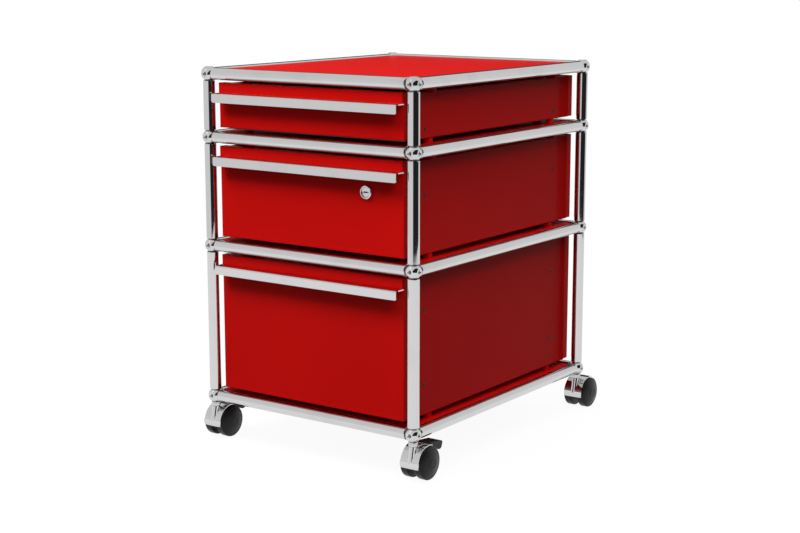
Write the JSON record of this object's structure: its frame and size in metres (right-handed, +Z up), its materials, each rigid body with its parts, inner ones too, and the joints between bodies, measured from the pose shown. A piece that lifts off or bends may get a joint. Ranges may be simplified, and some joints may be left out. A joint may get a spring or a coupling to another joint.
{
  "type": "drawer_pedestal",
  "caption": "Mobile drawer pedestal with a ball-jointed chrome tube frame, red steel panels, pull-out drawers on telescopic runners, a cam lock and braked twin-wheel casters",
  "frame": {"origin": "on the floor, at the middle of the box around the cabinet: midway between its sides, and midway between the lips of the pulls and the rear wheels", "axes": "+Z up; the drawer fronts face -Y; +X is to the right as you face the drawers"},
  "size_m": [0.4434, 0.5614, 0.6079],
  "materials": {
    "chrome": "mirror-bright plating",
    "red_enamel": "glossy red powder coat",
    "grey_enamel": "dark grey powder coat",
    "zinc_steel": "bright zinc plating",
    "black_steel": "blackened steel",
    "black_plastic": "black nylon"
  },
  "bodies": {
    "frame": {"balls_base": "chrome", "balls_lower": "chrome", "balls_upper": "chrome", "balls_top": "chrome", "posts": "chrome", "rails_front": "chrome", "rails_rear": "chrome", "rails_left": "chrome", "rails_right": "chrome", "joint_studs": "zinc_steel", "top_panel": "red_enamel", "shelf_panels": "red_enamel", "side_panels_left": "red_enamel", "side_panels_right": "red_enamel", "rear_panels": "red_enamel", "panel_clips": "black_plastic", "cabinet_runners": "zinc_steel", "runner_screws": "black_steel", "caster_collars": "chrome"},
    "bottom_drawer": {"bottom_front": "red_enamel", "bottom_strip": "red_enamel", "bottom_pull": "chrome", "bottom_box": "grey_enamel", "bottom_runners": "zinc_steel"},
    "bottom_slide": {"slide_bottom": "zinc_steel"},
    "middle_drawer": {"middle_front": "red_enamel", "middle_strip": "red_enamel", "middle_pull": "chrome", "middle_box": "grey_enamel", "middle_runners": "zinc_steel", "lock_body": "chrome", "lock_nut": "zinc_steel"},
    "middle_slide": {"slide_middle": "zinc_steel"},
    "top_drawer": {"top_front": "red_enamel", "top_strip": "red_enamel", "top_pull": "chrome", "top_box": "grey_enamel", "top_runners": "zinc_steel"},
    "top_slide": {"slide_top": "zinc_steel"},
    "lock_core": {"lock_plug": "chrome", "lock_cam": "zinc_steel"},
    "fl_caster": {"fl_hood": "chrome", "fl_core": "black_plastic"},
    "fl_in_wheel": {"fl_wheel_in": "black_plastic"},
    "fl_out_wheel": {"fl_wheel_out": "black_plastic"},
    "fl_pedal": {"fl_brake": "black_plastic"},
    "fr_caster": {"fr_hood": "chrome", "fr_core": "black_plastic"},
    "fr_in_wheel": {"fr_wheel_in": "black_plastic"},
    "fr_out_wheel": {"fr_wheel_out": "black_plastic"},
    "fr_pedal": {"fr_brake": "black_plastic"},
    "rl_caster": {"rl_hood": "chrome", "rl_core": "black_plastic"},
    "rl_in_wheel": {"rl_wheel_in": "black_plastic"},
    "rl_out_wheel": {"rl_wheel_out": "black_plastic"},
    "rr_caster": {"rr_hood": "chrome", "rr_core": "black_plastic"},
    "rr_in_wheel": {"rr_wheel_in": "black_plastic"},
    "rr_out_wheel": {"rr_wheel_out": "black_plastic"}
  },
  "joints": [
    {"name": "bottom_drawer_slide", "type": "slide", "parent": "frame", "child": "bottom_drawer", "axis": [0, -1, 0], "range_m": [0, 0.4]},
    {"name": "bottom_runner_slide", "type": "slide", "parent": "frame", "child": "bottom_slide", "axis": [0, -1, 0], "range_m": [0, 0.2]},
    {"name": "middle_drawer_slide", "type": "slide", "parent": "frame", "child": "middle_drawer", "axis": [0, -1, 0], "range_m": [0, 0.4]},
    {"name": "middle_runner_slide", "type": "slide", "parent": "frame", "child": "middle_slide", "axis": [0, -1, 0], "range_m": [0, 0.2]},
    {"name": "top_drawer_slide", "type": "slide", "parent": "frame", "child": "top_drawer", "axis": [0, -1, 0], "range_m": [0, 0.4]},
    {"name": "top_runner_slide", "type": "slide", "parent": "frame", "child": "top_slide", "axis": [0, -1, 0], "range_m": [0, 0.2]},
    {"name": "lock_turn", "type": "hinge", "parent": "middle_drawer", "child": "lock_core", "pos_m": [0.111, -0.2533, 0.4325], "axis": [0, 1, 0], "range_deg": [0, 90]},
    {"name": "fl_swivel", "type": "hinge", "parent": "frame", "child": "fl_caster", "pos_m": [-0.1975, -0.2633, 0.056], "axis": [0, 0, 1], "continuous": true},
    {"name": "fl_wheel_in_roll", "type": "hinge", "parent": "fl_caster", "child": "fl_in_wheel", "pos_m": [-0.1865, -0.2453, 0.026], "axis": [1, 0, 0], "continuous": true},
    {"name": "fl_wheel_out_roll", "type": "hinge", "parent": "fl_caster", "child": "fl_out_wheel", "pos_m": [-0.2085, -0.2453, 0.026], "axis": [1, 0, 0], "continuous": true},
    {"name": "fl_pedal_press", "type": "hinge", "parent": "fl_caster", "child": "fl_pedal", "pos_m": [-0.1975, -0.2283, 0.0405], "axis": [-1, 0, 0], "range_deg": [0, 12]},
    {"name": "fr_swivel", "type": "hinge", "parent": "frame", "child": "fr_caster", "pos_m": [0.1975, -0.2633, 0.056], "axis": [0, 0, 1], "continuous": true},
    {"name": "fr_wheel_in_roll", "type": "hinge", "parent": "fr_caster", "child": "fr_in_wheel", "pos_m": [0.1865, -0.2453, 0.026], "axis": [1, 0, 0], "continuous": true},
    {"name": "fr_wheel_out_roll", "type": "hinge", "parent": "fr_caster", "child": "fr_out_wheel", "pos_m": [0.2085, -0.2453, 0.026], "axis": [1, 0, 0], "continuous": true},
    {"name": "fr_pedal_press", "type": "hinge", "parent": "fr_caster", "child": "fr_pedal", "pos_m": [0.1975, -0.2283, 0.0405], "axis": [-1, 0, 0], "range_deg": [0, 12]},
    {"name": "rl_swivel", "type": "hinge", "parent": "frame", "child": "rl_caster", "pos_m": [-0.1975, 0.2367, 0.056], "axis": [0, 0, 1], "continuous": true},
    {"name": "rl_wheel_in_roll", "type": "hinge", "parent": "rl_caster", "child": "rl_in_wheel", "pos_m": [-0.1865, 0.2547, 0.026], "axis": [1, 0, 0], "continuous": true},
    {"name": "rl_wheel_out_roll", "type": "hinge", "parent": "rl_caster", "child": "rl_out_wheel", "pos_m": [-0.2085, 0.2547, 0.026], "axis": [1, 0, 0], "continuous": true},
    {"name": "rr_swivel", "type": "hinge", "parent": "frame", "child": "rr_caster", "pos_m": [0.1975, 0.2367, 0.056], "axis": [0, 0, 1], "continuous": true},
    {"name": "rr_wheel_in_roll", "type": "hinge", "parent": "rr_caster", "child": "rr_in_wheel", "pos_m": [0.1865, 0.2547, 0.026], "axis": [1, 0, 0], "continuous": true},
    {"name": "rr_wheel_out_roll", "type": "hinge", "parent": "rr_caster", "child": "rr_out_wheel", "pos_m": [0.2085, 0.2547, 0.026], "axis": [1, 0, 0], "continuous": true}
  ],
  "couplings": [
    {"joint": "bottom_runner_slide", "follows": "bottom_drawer_slide", "ratio": 0.5},
    {"joint": "middle_runner_slide", "follows": "middle_drawer_slide", "ratio": 0.5},
    {"joint": "top_runner_slide", "follows": "top_drawer_slide", "ratio": 0.5}
  ]
}
